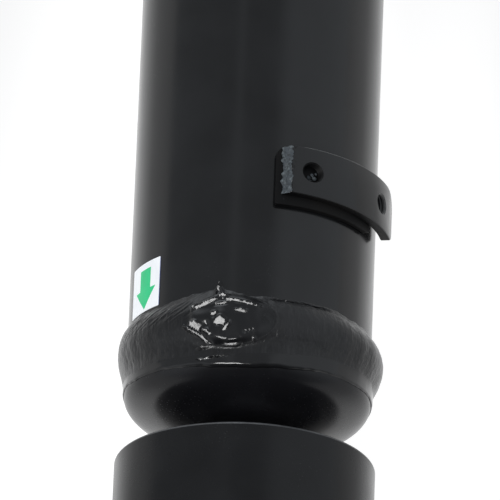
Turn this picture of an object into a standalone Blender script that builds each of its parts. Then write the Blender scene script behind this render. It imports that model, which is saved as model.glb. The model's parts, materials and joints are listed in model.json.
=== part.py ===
"""Telescopic hydraulic cylinder: a barrel, two tubular stages and a plunger, with a ball cup at each end.

The cylinder lies along +Y, shown closed. The origin is the centre of the base cup's mounting face.
Azimuth is the angle round the Y axis, from straight up (+Z) towards +X.
Lengths in this file are millimetres, and turn into metres where a mesh is made.
"""

import math

import bmesh
import bpy
from mathutils import Matrix, Vector

MM = 0.001
GAP = 0.3
CUT_SPARE = 5.0
ROUND = 48
INNER_ROUND = 24
SMALL_ROUND = 12
HEX = 6
SHARP_ANGLE = 40

# Barrel and the dished cap that closes its base
BARREL_R = 61.0
BARREL_BORE_R = 53.0
BARREL_BOTTOM = 127.8
BARREL_TOP = 616.0
CAP_R = 61.8
CAP_DEPTH = 22.0
CAP_EDGE = 108.0
CAP_INNER_EDGE = 109.0
CAP_TOP = 136.0
CAP_BORE_R = 46.0
CAP_WALL = 10.0

# Weld bead between the cap and the barrel: a groove filled flush and a rounded crown over it
# Its crown, from the toe on the cap to the toe on the barrel: (radius, y)
BEAD_CROWN = (
    (61.4, 104.0),
    (62.2, 107.0),
    (62.4, 111.0),
    (63.4, 115.5),
    (65.1, 120.0),
    (66.1, 124.5),
    (66.2, 128.5),
    (65.6, 132.0),
    (63.7, 136.5),
    (61.35, 140.0),
)
GROOVE_ROOT_R = 55.0
GROOVE_LOW = 113.0
GROOVE_HIGH = 138.5
ROOT_OPENING = 0.8
GROOVE_SIDE_GAP = 0.35

# Hose clamp bracket, its spacer and the arrow label, all on the barrel's side
BRACKET_LOW = 193.6
BRACKET_HIGH = 219.1
BRACKET_R = 69.5
BRACKET_THICK = 5.0
BRACKET_START = 14.5
BRACKET_END = 86.0
BRACKET_HOLES = (24.0, 67.0)
BRACKET_HOLE_R = 5.25
SPACER_START = 8.6
SPACER_END = 65.0
SPACER_LOW = 188.6
SPACER_HIGH = 219.6
LABEL_START = -74.0
LABEL_END = -48.5
LABEL_LOW = 141.0
LABEL_HIGH = 167.4
LABEL_THICK = 0.4

# Inlet port near the barrel's head
PORT_AZIMUTH = 45.0
PORT_Y = 560.0
PORT_FACE_R = 77.0
PORT_BOSS_R = 22.0
PORT_HOLE_R = 12.3
PORT_DRILL_R = 9.0
PORT_SADDLE = 4.0
PORT_BEVEL = 1.5
PLUG_LENGTH = 11.0
PLUG_SUNK = 1.0
PLUG_SOCKET_R = 6.9
PLUG_SOCKET_DEPTH = 7.0

# Heads: each holds a guide ring, a seal and a wiper, which run on the stage inside it
HEAD_SOCKET = 16.0
HEAD_LENGTH = 46.0
HEAD_LOW_BEVEL = 1.5
HEAD_TOP_BEVEL = 2.0
GUIDE_GROOVE = (18.5, 26.5, 3.0)
SEAL_GROOVE = (29.0, 36.0, 5.0)
WIPER_GROOVE = (39.0, 46.0, 4.0)
WIPER_LIP = 1.5
WIPER_LIP_WALL = 1.4
BORE_PLAY = 0.4
LOCK_SCREW_R = 3.0
LOCK_SCREW_DEPTH = 7.0
LOCK_SCREW_PLACE = 9.0
LOCK_SCREW_SUNK = 1.0

# The moving stages, from the widest to the plunger: radii, ends and the length of the bearing
STAGES = {
    "stage_1": {"r": 50.0, "bore": 44.0, "low": 140.0, "high": 665.0, "bearing": 32.0, "tube_bore": 53.0},
    "stage_2": {"r": 40.0, "bore": 34.0, "low": 146.0, "high": 714.0, "bearing": 50.0, "tube_bore": 44.0},
    "plunger": {"r": 30.0, "bore": 23.0, "low": 158.0, "high": 748.0, "bearing": 70.0, "tube_bore": 34.0},
}
HEADS = {
    "barrel": {"low": 600.0, "r": 70.0, "socket_r": 61.8, "stage": "stage_1"},
    "stage_1": {"low": 649.0, "r": 58.0, "socket_r": 50.3, "stage": "stage_2"},
    "stage_2": {"low": 698.0, "r": 48.0, "socket_r": 40.3, "stage": "plunger"},
}
STAGE_LIP = 3.0
BEARING_GROOVE = 1.5
STOP_GROOVE = 2.0
STOP_WIDTH = 6.0
STOP_SPACE = 5.0

# Ball cups. Heights are measured from the ball's centre towards the cylinder.
BALL_PLAY = 0.7
LINER_WALL = 3.3
LINER_POLAR = (28.0, 80.0)
SEAT_POLAR_START = 19.0
CUPS = {
    "base": {"centre": 38.0, "side": 1, "ball": 30.0, "neck": 19.0, "r": 65.0, "bore": 46.0,
             "face": -38.0, "rim": 34.0, "keeper_top": 20.0, "nipple": -20.0},
    "top": {"centre": 798.0, "side": -1, "ball": 26.0, "neck": 15.0, "r": 52.0, "bore": 40.0,
            "face": -34.0, "rim": 28.0, "keeper_top": 17.0, "nipple": -18.0},
}
KEEPER_BALL_SHARES = (0.10, 0.33, 0.53)
KEEPER_FLARE = 2.4
SNAP_GROOVE = 4.0
SNAP_DEPTH = 2.5
SNAP_WIDTH = 5.0
SNAP_START = 15.0
SNAP_SWEEP = 330.0
NIPPLE_AZIMUTH = -90.0
NIPPLE_DEPTH = 20.0
NIPPLE_DRILL_R = 3.3
SPOT_FACE_R = 8.5
SPOT_FACE_DEPTH = 7.0
NIPPLE_OUTLINE = ((0, 0.5), (3.0, 0.5), (3.0, 13.3), (5.6, 13.3), (5.6, 17.0), (2.5, 17.6), (2.5, 19.2),
                  (3.3, 19.8), (3.3, 21.4), (1.4, 22.6), (0, 22.6))
BALL_FLAT_R = 6.0

# Ball pin and plunger end cap
PIN_HEAD_R = 24.0
PIN_HEAD_TOP = 104.0
PIN_HEAD_LOW = 99.5
PIN_HEAD_BEVEL = 1.5
PLUNGER_CAP_LOW = 730.0
PLUNGER_CAP_SHOULDER = 760.0
PLUNGER_NECK_LOW = 771.0
BLEED_Y = 754.0
BLEED_R = 3.0
BLEED_DEPTH = 9.0
BLEED_HEAD_R = 4.2
BLEED_HEAD = 3.0

BLACK_PAINT = ((0.013, 0.013, 0.015), 0.28, 0.0)
BEAD_PAINT = ((0.017, 0.017, 0.019), 0.42, 0.0)
CHROME = ((0.62, 0.63, 0.65), 0.12, 1.0)
STEEL = ((0.42, 0.43, 0.45), 0.35, 1.0)
BRONZE = ((0.55, 0.36, 0.16), 0.38, 1.0)
RUBBER = ((0.02, 0.02, 0.02), 0.75, 0.0)
NYLON = ((0.62, 0.60, 0.52), 0.50, 0.0)
LABEL = ((0.85, 0.86, 0.87), 0.45, 0.0)
ZINC = ((0.60, 0.58, 0.48), 0.32, 1.0)

BODY_ORIGINS = {
    "barrel": (0.0, 0.0, 0.0),
    "base_liner": (0.0, CUPS["base"]["centre"], 0.0),
    "base_cup": (0.0, CUPS["base"]["centre"], 0.0),
    "stage_1": (0.0, STAGES["stage_1"]["low"], 0.0),
    "stage_2": (0.0, STAGES["stage_2"]["low"], 0.0),
    "plunger": (0.0, STAGES["plunger"]["low"], 0.0),
    "top_liner": (0.0, CUPS["top"]["centre"], 0.0),
    "top_cup": (0.0, CUPS["top"]["centre"], 0.0),
}


def clear_scene():
    """Removes what the file opened with."""
    for obj in list(bpy.data.objects):
        bpy.data.objects.remove(obj, do_unlink=True)


def make_bodies():
    """One empty for each rigid body, on its joint's axis."""
    bodies = {}
    for name, place in BODY_ORIGINS.items():
        empty = bpy.data.objects.new("body_" + name, None)
        empty.location = Vector(place) * MM
        empty.empty_display_size = 20 * MM
        bpy.context.scene.collection.objects.link(empty)
        bodies[name] = empty
    return bodies


def material(name, look):
    """A Principled material of one colour, roughness and metallic value."""
    colour, roughness, metallic = look
    made = bpy.data.materials.new(name)
    made.use_nodes = True
    shader = made.node_tree.nodes["Principled BSDF"]
    shader.inputs["Base Color"].default_value = (*colour, 1.0)
    shader.inputs["Roughness"].default_value = roughness
    shader.inputs["Metallic"].default_value = metallic
    made.diffuse_color = (*colour, 1.0)
    return made


def finish(bm, name, body, look):
    """Turns a bmesh in millimetres into an object in metres, hung on its body's empty."""
    bmesh.ops.remove_doubles(bm, verts=bm.verts, dist=0.001)
    bmesh.ops.recalc_face_normals(bm, faces=bm.faces)
    mesh = bpy.data.meshes.new(name)
    bm.to_mesh(mesh)
    bm.free()
    mesh.transform(Matrix.Scale(MM, 4))
    mesh.shade_smooth()
    mesh.set_sharp_from_angle(angle=math.radians(SHARP_ANGLE))
    obj = bpy.data.objects.new(name, mesh)
    bpy.context.scene.collection.objects.link(obj)
    if body is None:
        obj.hide_render = True
        obj.display_type = "WIRE"
        return obj
    mesh.transform(Matrix.Translation(-bodies[body].location))
    obj.parent = bodies[body]
    mesh.materials.append(material(name, look))
    return obj


def around(radius, y, azimuth):
    """A point at this radius and azimuth round the Y axis."""
    angle = math.radians(azimuth)
    return Vector((radius * math.sin(angle), y, radius * math.cos(angle)))


def spin_profile(bm, profile, steps, sweep=360.0, start=0.0):
    """Turns (radius, y) points round the Y axis. A part turn gets a flat cap at each end."""
    first = [bm.verts.new(around(radius, y, start)) for radius, y in profile]
    closed = profile[0][0] > 0 or profile[-1][0] > 0
    edges = [bm.edges.new(pair) for pair in zip(first, first[1:])]
    if closed:
        edges.append(bm.edges.new((first[-1], first[0])))
    spun = bmesh.ops.spin(bm, geom=first + edges, cent=(0, 0, 0), axis=(0, 1, 0), dvec=(0, 0, 0),
                          angle=math.radians(sweep), steps=steps, use_duplicate=False)
    if sweep < 360:
        bm.faces.new(first)
        last_edges = [item for item in spun["geom_last"] if isinstance(item, bmesh.types.BMEdge)]
        bmesh.ops.contextual_create(bm, geom=last_edges)


def turned(name, profile, body, look, steps=INNER_ROUND, sweep=360.0, start=0.0):
    """A solid turned round the cylinder's axis."""
    bm = bmesh.new()
    spin_profile(bm, profile, steps, sweep, start)
    return finish(bm, name, body, look)


def radial(name, profile, body, look, y, azimuth, steps=SMALL_ROUND):
    """A solid turned round an axis that points straight out of the cylinder's side.

    Its profile is (radius, distance from the cylinder's axis).
    """
    bm = bmesh.new()
    spin_profile(bm, profile, steps)
    outward = Matrix.Rotation(math.radians(azimuth), 4, "Y") @ Matrix.Rotation(math.radians(90), 4, "X")
    bmesh.ops.transform(bm, verts=bm.verts, matrix=Matrix.Translation((0, y, 0)) @ outward)
    return finish(bm, name, body, look)


def arc_plate(name, inner, outer, stations, body, look):
    """A plate bent round the barrel, with its low and high edge given at each azimuth."""
    bm = bmesh.new()
    rings = []
    for azimuth, low, high in stations:
        corners = ((inner, low), (inner, high), (outer, high), (outer, low))
        rings.append([bm.verts.new(around(radius, y, azimuth)) for radius, y in corners])
    for ring, following in zip(rings, rings[1:]):
        for i in range(4):
            j = (i + 1) % 4
            bm.faces.new((ring[i], ring[j], following[j], following[i]))
    bm.faces.new(rings[0])
    bm.faces.new(rings[-1])
    return finish(bm, name, body, look)


def cut(obj, cutter):
    """Takes the cutter's shape out of the object, and keeps the cutter as a hidden guide."""
    modifier = obj.modifiers.new("cut_" + cutter.name, "BOOLEAN")
    modifier.operation = "DIFFERENCE"
    modifier.solver = "EXACT"
    modifier.object = cutter


def arc(radius, centre_y, side, angles):
    """Points of a circle on the axis: polar angles count from the cylinder's side of the ball."""
    points = []
    for angle in angles:
        turn = math.radians(angle)
        points.append((radius * math.sin(turn), centre_y + side * radius * math.cos(turn)))
    return points


def spread(first, last, count):
    """Evenly spaced values from first to last, both included."""
    return [first + (last - first) * i / (count - 1) for i in range(count)]


def rod_outline(radius, low, high):
    """The outline of a plain round rod on its axis."""
    return [(0, low), (radius, low), (radius, high), (0, high)]


def cap_outline(depth, radius, edge, start_r, count):
    """Half an ellipse of a dished cap, from a hole's edge out to its rim."""
    first = math.degrees(math.asin(start_r / radius))
    points = []
    for angle in spread(first, 90.0, count):
        turn = math.radians(angle)
        points.append((radius * math.sin(turn), edge - depth * math.cos(turn)))
    return points


def make_barrel():
    """The barrel tube, bevelled at its base for the weld and drilled for the port."""
    profile = [
        (BARREL_BORE_R, BARREL_BOTTOM),
        (GROOVE_ROOT_R, BARREL_BOTTOM),
        (BARREL_R, GROOVE_HIGH),
        (BARREL_R, BARREL_TOP),
        (BARREL_BORE_R, BARREL_TOP),
    ]
    tube = turned("barrel_tube", profile, "barrel", BLACK_PAINT, ROUND)
    drill = rod_outline(PORT_DRILL_R, BARREL_BORE_R - CUT_SPARE, BARREL_R + CUT_SPARE)
    cut(tube, radial("port_drill", drill, None, None, PORT_Y, PORT_AZIMUTH))


def make_base_cap():
    """The dished cap, with a hole for the ball pin and a spigot inside the barrel."""
    hole = CUPS["base"]["neck"] + GAP
    flange_end = BARREL_BOTTOM - 2 * ROOT_OPENING
    outside = cap_outline(CAP_DEPTH, CAP_R, CAP_EDGE, hole, 7)
    inside = cap_outline(CAP_DEPTH - CAP_WALL, CAP_BORE_R, CAP_INNER_EDGE, hole, 5)
    profile = [
        *outside,
        (CAP_R, GROOVE_LOW),
        (GROOVE_ROOT_R, flange_end),
        (BARREL_BORE_R - GAP, flange_end),
        (BARREL_BORE_R - GAP, CAP_TOP),
        (CAP_BORE_R, CAP_TOP),
        *reversed(inside),
    ]
    turned("base_end_cap", profile, "barrel", BLACK_PAINT, ROUND)


def make_ball_pin():
    """The pin through the dished cap, with the ball on its end."""
    cup = CUPS["base"]
    neck_angle = math.degrees(math.asin(cup["neck"] / cup["ball"]))
    flat_angle = 180 - math.degrees(math.asin(BALL_FLAT_R / cup["ball"]))
    ball = arc(cup["ball"], cup["centre"], cup["side"], spread(flat_angle, neck_angle, 10))
    profile = [
        (0, ball[0][1]),
        *ball,
        (cup["neck"], PIN_HEAD_LOW),
        (PIN_HEAD_R, PIN_HEAD_LOW + PIN_HEAD_BEVEL),
        (PIN_HEAD_R, PIN_HEAD_TOP),
        (0, PIN_HEAD_TOP),
    ]
    turned("base_ball_pin", profile, "barrel", STEEL)


def make_weld_bead():
    """The bead: it fills the groove, stands over it in a rounded crown, and runs down over the flange."""
    profile = [
        *BEAD_CROWN,
        (BARREL_R + GROOVE_SIDE_GAP, GROOVE_HIGH),
        (GROOVE_ROOT_R + GROOVE_SIDE_GAP, BARREL_BOTTOM),
        (GROOVE_ROOT_R + GROOVE_SIDE_GAP, BARREL_BOTTOM - 2 * ROOT_OPENING),
        (CAP_R + GAP, GROOVE_LOW),
        (CAP_R + GAP, CAP_EDGE),
    ]
    turned("base_weld_bead", profile, "barrel", BEAD_PAINT, ROUND)


def make_bracket():
    """The curved hose clamp bracket with two holes, on a thinner spacer strip."""
    full = [(azimuth, BRACKET_LOW, BRACKET_HIGH) for azimuth in spread(BRACKET_START, BRACKET_END - 5, 12)]
    rounded = [
        (BRACKET_END - 2.5, BRACKET_LOW + 0.8, BRACKET_HIGH - 1.6),
        (BRACKET_END - 0.7, BRACKET_LOW + 2.2, BRACKET_HIGH - 4.2),
        (BRACKET_END, BRACKET_LOW + 4.4, BRACKET_HIGH - 7.5),
    ]
    inner = BRACKET_R - BRACKET_THICK
    plate = arc_plate("clamp_bracket", inner, BRACKET_R, full + rounded, "barrel", BLACK_PAINT)
    middle = (BRACKET_LOW + BRACKET_HIGH) / 2
    hole = rod_outline(BRACKET_HOLE_R, inner - CUT_SPARE, BRACKET_R + CUT_SPARE)
    for number, azimuth in enumerate(BRACKET_HOLES, 1):
        name = f"bracket_hole_{number}"
        cut(plate, radial(name, hole, None, None, middle, azimuth, 2 * SMALL_ROUND))
    stations = [(azimuth, SPACER_LOW, SPACER_HIGH) for azimuth in spread(SPACER_START, SPACER_END, 9)]
    arc_plate("bracket_spacer", BARREL_R + GAP, inner - GAP, stations, "barrel", BLACK_PAINT)


def make_label():
    """A thin label that shows which way the base points."""
    stations = [(azimuth, LABEL_LOW, LABEL_HIGH) for azimuth in spread(LABEL_START, LABEL_END, 6)]
    arc_plate("arrow_label", BARREL_R + GAP, BARREL_R + GAP + LABEL_THICK, stations, "barrel", LABEL)


def make_port():
    """The welded inlet boss and the socket plug sunk in it."""
    floor_r = BARREL_R - PORT_SADDLE
    profile = [
        (PORT_HOLE_R, floor_r),
        (PORT_BOSS_R, floor_r),
        (PORT_BOSS_R, PORT_FACE_R - PORT_BEVEL),
        (PORT_BOSS_R - PORT_BEVEL, PORT_FACE_R),
        (PORT_HOLE_R, PORT_FACE_R),
    ]
    boss = radial("inlet_port_boss", profile, "barrel", BLACK_PAINT, PORT_Y, PORT_AZIMUTH, INNER_ROUND)
    reach = PORT_BOSS_R + CUT_SPARE
    envelope = rod_outline(BARREL_R + GAP, PORT_Y - reach, PORT_Y + reach)
    cut(boss, turned("barrel_envelope", envelope, None, None, ROUND))
    plug_high = PORT_FACE_R - PLUG_SUNK
    plug = rod_outline(PORT_HOLE_R - GAP, plug_high - PLUG_LENGTH, plug_high)
    plug_obj = radial("inlet_port_plug", plug, "barrel", STEEL, PORT_Y, PORT_AZIMUTH, INNER_ROUND)
    socket = rod_outline(PLUG_SOCKET_R, plug_high - PLUG_SOCKET_DEPTH, plug_high + CUT_SPARE)
    cut(plug_obj, radial("plug_socket", socket, None, None, PORT_Y, PORT_AZIMUTH, HEX))


def make_head(owner, head):
    """The gland at the top of the barrel or of a stage: socket, stop shoulder and three grooves."""
    low = head["low"]
    top = low + HEAD_LENGTH
    rod = STAGES[head["stage"]]["r"]
    bore = rod + BORE_PLAY
    shoulder = low + HEAD_SOCKET + GAP
    guide_low, guide_high, guide_deep = GUIDE_GROOVE
    seal_low, seal_high, seal_deep = SEAL_GROOVE
    wiper_low, wiper_high, wiper_deep = WIPER_GROOVE
    profile = [
        (head["socket_r"], low),
        (head["r"] - HEAD_LOW_BEVEL, low),
        (head["r"], low + HEAD_LOW_BEVEL),
        (head["r"], top - HEAD_TOP_BEVEL),
        (head["r"] - HEAD_TOP_BEVEL, top),
        (rod + wiper_deep, top),
        (rod + wiper_deep, low + wiper_low),
        (bore, low + wiper_low),
        (bore, low + seal_high),
        (rod + seal_deep, low + seal_high),
        (rod + seal_deep, low + seal_low),
        (bore, low + seal_low),
        (bore, low + guide_high),
        (rod + guide_deep, low + guide_high),
        (rod + guide_deep, low + guide_low),
        (bore, low + guide_low),
        (bore, shoulder),
        (head["socket_r"], shoulder),
    ]
    made = turned(owner + "_head", profile, owner, BLACK_PAINT)
    make_lock_screw(owner, head, made)
    make_ring(owner + "_guide_ring", rod + GAP, rod + guide_deep - GAP,
              low + guide_low + GAP, low + guide_high - GAP, owner, NYLON, split=True)
    make_ring(owner + "_seal", rod + GAP, rod + seal_deep - GAP,
              low + seal_low + GAP, low + seal_high - GAP, owner, RUBBER)
    wiper = [
        (rod + GAP, low + wiper_low + GAP),
        (rod + wiper_deep - GAP, low + wiper_low + GAP),
        (rod + wiper_deep - GAP, low + wiper_high),
        (rod + WIPER_LIP_WALL, low + wiper_high + WIPER_LIP),
        (rod + GAP, low + wiper_high + WIPER_LIP),
    ]
    turned(owner + "_wiper", wiper, owner, RUBBER)


def make_lock_screw(owner, head, head_obj):
    """A grub screw in the head's side, which keeps the head from turning."""
    y = head["low"] + LOCK_SCREW_PLACE
    floor_r = head["r"] - LOCK_SCREW_DEPTH
    hole = rod_outline(LOCK_SCREW_R + GAP, floor_r, head["r"] + CUT_SPARE)
    cut(head_obj, radial(owner + "_lock_hole", hole, None, None, y, NIPPLE_AZIMUTH))
    screw = rod_outline(LOCK_SCREW_R, floor_r + GAP, head["r"] - LOCK_SCREW_SUNK)
    radial(owner + "_lock_screw", screw, owner, STEEL, y, NIPPLE_AZIMUTH)


def make_ring(name, inner, outer, low, high, body, look, split=False):
    """A ring of rectangular section, whole or cut open so that it springs into its groove."""
    profile = [(inner, low), (outer, low), (outer, high), (inner, high)]
    if split:
        step = 360 / INNER_ROUND
        turned(name, profile, body, look, INNER_ROUND - 1, 360 - step, step)
    else:
        turned(name, profile, body, look)


def make_stage(name, stage):
    """A stage's tube with its bearing and stop ring in grooves near the base end."""
    radius = stage["r"]
    bearing_low = stage["low"] + STAGE_LIP
    bearing_high = bearing_low + stage["bearing"]
    stop_low = bearing_high + STOP_SPACE
    stop_high = stop_low + STOP_WIDTH
    profile = [
        (stage["bore"], stage["low"]),
        (radius, stage["low"]),
        (radius, bearing_low),
        (radius - BEARING_GROOVE, bearing_low),
        (radius - BEARING_GROOVE, bearing_high),
        (radius, bearing_high),
        (radius, stop_low),
        (radius - STOP_GROOVE, stop_low),
        (radius - STOP_GROOVE, stop_high),
        (radius, stop_high),
        (radius, stage["high"]),
        (stage["bore"], stage["high"]),
    ]
    turned(name + "_tube", profile, name, CHROME)
    outer = stage["tube_bore"] - GAP
    make_ring(name + "_bearing", radius - BEARING_GROOVE + GAP, outer,
              bearing_low + GAP, bearing_high - GAP, name, BRONZE, split=True)
    make_ring(name + "_stop_ring", radius - STOP_GROOVE + GAP, outer,
              stop_low + GAP, stop_high - GAP, name, STEEL, split=True)


def make_plunger_cap():
    """The cap that closes the plunger, with the top ball on it and a bleed screw in its side."""
    cup = CUPS["top"]
    stage = STAGES["plunger"]
    neck_angle = math.degrees(math.asin(cup["neck"] / cup["ball"]))
    flat_angle = 180 - math.degrees(math.asin(BALL_FLAT_R / cup["ball"]))
    ball = arc(cup["ball"], cup["centre"], cup["side"], spread(neck_angle, flat_angle, 10))
    profile = [
        (0, PLUNGER_CAP_LOW),
        (stage["bore"] - GAP, PLUNGER_CAP_LOW),
        (stage["bore"] - GAP, stage["high"] + GAP),
        (stage["r"], stage["high"] + GAP),
        (stage["r"], PLUNGER_CAP_SHOULDER),
        (cup["neck"], PLUNGER_NECK_LOW),
        *ball,
        (0, ball[-1][1]),
    ]
    cap = turned("plunger_end_cap", profile, "plunger", STEEL)
    floor_r = stage["r"] - BLEED_DEPTH
    hole = rod_outline(BLEED_R + GAP, floor_r, stage["r"] + CUT_SPARE)
    cut(cap, radial("bleed_hole", hole, None, None, BLEED_Y, 180))
    screw = [
        (0, floor_r + GAP),
        (BLEED_R, floor_r + GAP),
        (BLEED_R, stage["r"] + GAP),
        (BLEED_HEAD_R, stage["r"] + GAP),
        (BLEED_HEAD_R, stage["r"] + BLEED_HEAD),
        (0, stage["r"] + BLEED_HEAD),
    ]
    radial("bleed_screw", screw, "plunger", ZINC, BLEED_Y, 180)


def make_liner(end, cup):
    """The floating shell between a ball and its cup, open at the bottom for grease."""
    inner_r = cup["ball"] + BALL_PLAY
    first, last = (180 - angle for angle in LINER_POLAR)
    inner = arc(inner_r, cup["centre"], cup["side"], spread(first, last, 5))
    outer = arc(inner_r + LINER_WALL, cup["centre"], cup["side"], spread(last, first, 5))
    turned(end + "_ball_liner", inner + outer, end + "_liner", BRONZE)


def make_cup(end, cup):
    """The cup that takes the ball: flat mounting face, round seat, bore and snap ring groove."""
    centre = cup["centre"]
    side = cup["side"]

    def at(radius, height):
        return (radius, centre + side * height)

    seat_r = cup["ball"] + LINER_WALL + 2 * BALL_PLAY
    seat = arc(seat_r, centre, side, spread(180 - SEAT_POLAR_START, 90, 6))
    groove_low = cup["keeper_top"] + GAP
    groove_high = groove_low + SNAP_GROOVE
    shoulder = cup["ball"] * KEEPER_BALL_SHARES[0] - GAP
    profile = [
        at(0, cup["face"]),
        at(cup["r"] - 1.5, cup["face"]),
        at(cup["r"], cup["face"] + 1.5),
        at(cup["r"], cup["rim"] - 1),
        at(cup["r"] - 1, cup["rim"]),
        at(cup["bore"], cup["rim"]),
        at(cup["bore"], groove_high),
        at(cup["bore"] + SNAP_DEPTH, groove_high),
        at(cup["bore"] + SNAP_DEPTH, groove_low),
        at(cup["bore"], groove_low),
        at(cup["bore"], shoulder),
        at(seat_r, shoulder),
        *reversed(seat),
        (0, seat[0][1]),
    ]
    body = turned(end + "_cup", profile, end + "_cup", BLACK_PAINT)
    make_keeper(end, cup, at)
    low = groove_low + GAP
    high = groove_high - GAP
    outer = cup["bore"] + SNAP_DEPTH - GAP
    ring = [at(outer - SNAP_WIDTH, low), at(outer, low), at(outer, high), at(outer - SNAP_WIDTH, high)]
    turned(end + "_snap_ring", ring, end + "_cup", BLACK_PAINT, INNER_ROUND - 2, SNAP_SWEEP, SNAP_START)
    make_nipple(end, cup, body)


def make_keeper(end, cup, at):
    """The ring that keeps the ball in: its bore follows the ball, then flares for the neck."""
    ball_r = cup["ball"] + BALL_PLAY
    wall = []
    for share in KEEPER_BALL_SHARES:
        height = cup["ball"] * share
        wall.append(at(math.sqrt(ball_r ** 2 - height ** 2), height))
    flare_r = wall[-1][0] + KEEPER_FLARE
    outer = cup["bore"] - GAP
    low = cup["ball"] * KEEPER_BALL_SHARES[0]
    profile = [at(outer, low), *wall, at(flare_r, cup["keeper_top"]), at(outer, cup["keeper_top"])]
    turned(end + "_keeper_ring", profile, end + "_cup", BLACK_PAINT)


def make_nipple(end, cup, cup_obj):
    """A grease nipple in a spot face on the cup's side."""
    y = cup["centre"] + cup["side"] * cup["nipple"]
    base_r = cup["r"] - NIPPLE_DEPTH
    spot_r = cup["r"] - SPOT_FACE_DEPTH
    drill = [(0, base_r), (NIPPLE_DRILL_R, base_r), (NIPPLE_DRILL_R, spot_r), (SPOT_FACE_R, spot_r),
             (SPOT_FACE_R, cup["r"] + CUT_SPARE), (0, cup["r"] + CUT_SPARE)]
    cut(cup_obj, radial(end + "_nipple_hole", drill, None, None, y, NIPPLE_AZIMUTH))
    profile = [(radius, base_r + height) for radius, height in NIPPLE_OUTLINE]
    radial(end + "_grease_nipple", profile, end + "_cup", ZINC, y, NIPPLE_AZIMUTH, HEX)


clear_scene()
bodies = make_bodies()
make_barrel()
make_base_cap()
make_ball_pin()
make_weld_bead()
make_bracket()
make_label()
make_port()
for owner_name, head_size in HEADS.items():
    make_head(owner_name, head_size)
for stage_name, stage_size in STAGES.items():
    make_stage(stage_name, stage_size)
make_plunger_cap()
for end_name, cup_size in CUPS.items():
    make_liner(end_name, cup_size)
    make_cup(end_name, cup_size)
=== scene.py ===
"""The looks of a telescopic hydraulic cylinder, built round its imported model.

The cylinder lies along +Y with its base at the origin. Azimuth counts round the Y axis from +Z towards +X.
Shapes are worked out in millimetres and turned into metres where a mesh is made.
"""

import json
from math import asin, atan2, cos, degrees, exp, hypot, inf, pi, radians, sin, sqrt

import bmesh
import bpy
from mathutils import Matrix, Vector
from mathutils.noise import noise

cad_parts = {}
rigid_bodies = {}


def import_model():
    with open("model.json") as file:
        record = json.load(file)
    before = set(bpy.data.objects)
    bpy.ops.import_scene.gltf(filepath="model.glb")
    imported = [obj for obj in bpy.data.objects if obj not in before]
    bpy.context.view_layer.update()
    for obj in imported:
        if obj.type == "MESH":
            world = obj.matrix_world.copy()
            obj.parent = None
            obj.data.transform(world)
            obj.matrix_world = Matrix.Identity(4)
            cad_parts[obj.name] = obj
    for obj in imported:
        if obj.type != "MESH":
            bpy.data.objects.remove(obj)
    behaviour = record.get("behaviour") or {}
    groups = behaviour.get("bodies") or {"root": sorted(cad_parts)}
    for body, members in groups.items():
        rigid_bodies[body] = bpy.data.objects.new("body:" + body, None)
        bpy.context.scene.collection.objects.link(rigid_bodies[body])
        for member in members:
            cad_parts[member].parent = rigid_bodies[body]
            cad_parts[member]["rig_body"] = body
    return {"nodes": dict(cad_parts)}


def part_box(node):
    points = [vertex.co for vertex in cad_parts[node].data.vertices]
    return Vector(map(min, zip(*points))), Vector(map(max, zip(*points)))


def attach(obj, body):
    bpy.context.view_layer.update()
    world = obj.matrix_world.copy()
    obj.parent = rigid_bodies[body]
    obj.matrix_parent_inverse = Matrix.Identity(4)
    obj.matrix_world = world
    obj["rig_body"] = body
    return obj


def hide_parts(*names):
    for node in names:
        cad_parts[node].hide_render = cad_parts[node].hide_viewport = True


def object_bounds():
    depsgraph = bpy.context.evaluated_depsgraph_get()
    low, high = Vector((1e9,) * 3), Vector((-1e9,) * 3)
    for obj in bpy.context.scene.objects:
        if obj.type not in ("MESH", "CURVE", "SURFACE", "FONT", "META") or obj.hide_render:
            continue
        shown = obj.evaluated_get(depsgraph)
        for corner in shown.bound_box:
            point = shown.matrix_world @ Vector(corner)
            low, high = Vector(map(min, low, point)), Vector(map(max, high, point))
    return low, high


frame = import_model()
cad_low, cad_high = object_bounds()

MM = 0.001
MERGE = 0.0005  # points nearer than this, in millimetres, become one
FINE_TURN = 256
TURN = 192
SMALL_TURN = 48
EASE_STEPS = 5
EASE_MARGIN = 0.4  # how far beyond a rounded corner its supporting point stands, as a share of the rounding
CURVE_BEND = 24
SHARP_ANGLE = 32


# --- places and outlines


def around(radius, y, azimuth):
    """A point at this radius and azimuth round the Y axis."""
    angle = radians(azimuth)
    return Vector((radius * sin(angle), y, radius * cos(angle)))


def span(node, axis="y"):
    """A node's lowest and highest place along an axis, in millimetres."""
    low, high = (getattr(corner, axis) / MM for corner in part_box(node))
    return low, high


def size_of(node):
    """A turned node's outer radius and its lowest and highest y, in millimetres."""
    return span(node, "x")[1], *span(node)


def outline(node, azimuth=0.0):
    """A turned node's section at this azimuth: (radius, y) points in millimetres, in order.

    A ring's section is a loop. A solid's section is open, and starts and ends on the axis.
    """
    mesh = frame["nodes"][node].data
    outward = around(1, 0, azimuth)
    sideways = around(1, 0, azimuth + 90)
    links = {}
    for edge in mesh.edges:
        ends = [mesh.vertices[index].co / MM for index in edge.vertices]
        if any(abs(end.dot(sideways)) > 0.01 or end.dot(outward) < -0.01 for end in ends):
            continue
        first, second = ((abs(round(end.dot(outward), 2)), round(end.y, 2)) for end in ends)
        if first != second:
            links.setdefault(first, set()).add(second)
            links.setdefault(second, set()).add(first)
    chain = [min(links, key=lambda point: (len(links[point]), point))]
    while True:
        following = sorted(point for point in links[chain[-1]] if point not in chain)
        if not following:
            return chain
        chain.append(following[0])


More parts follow.
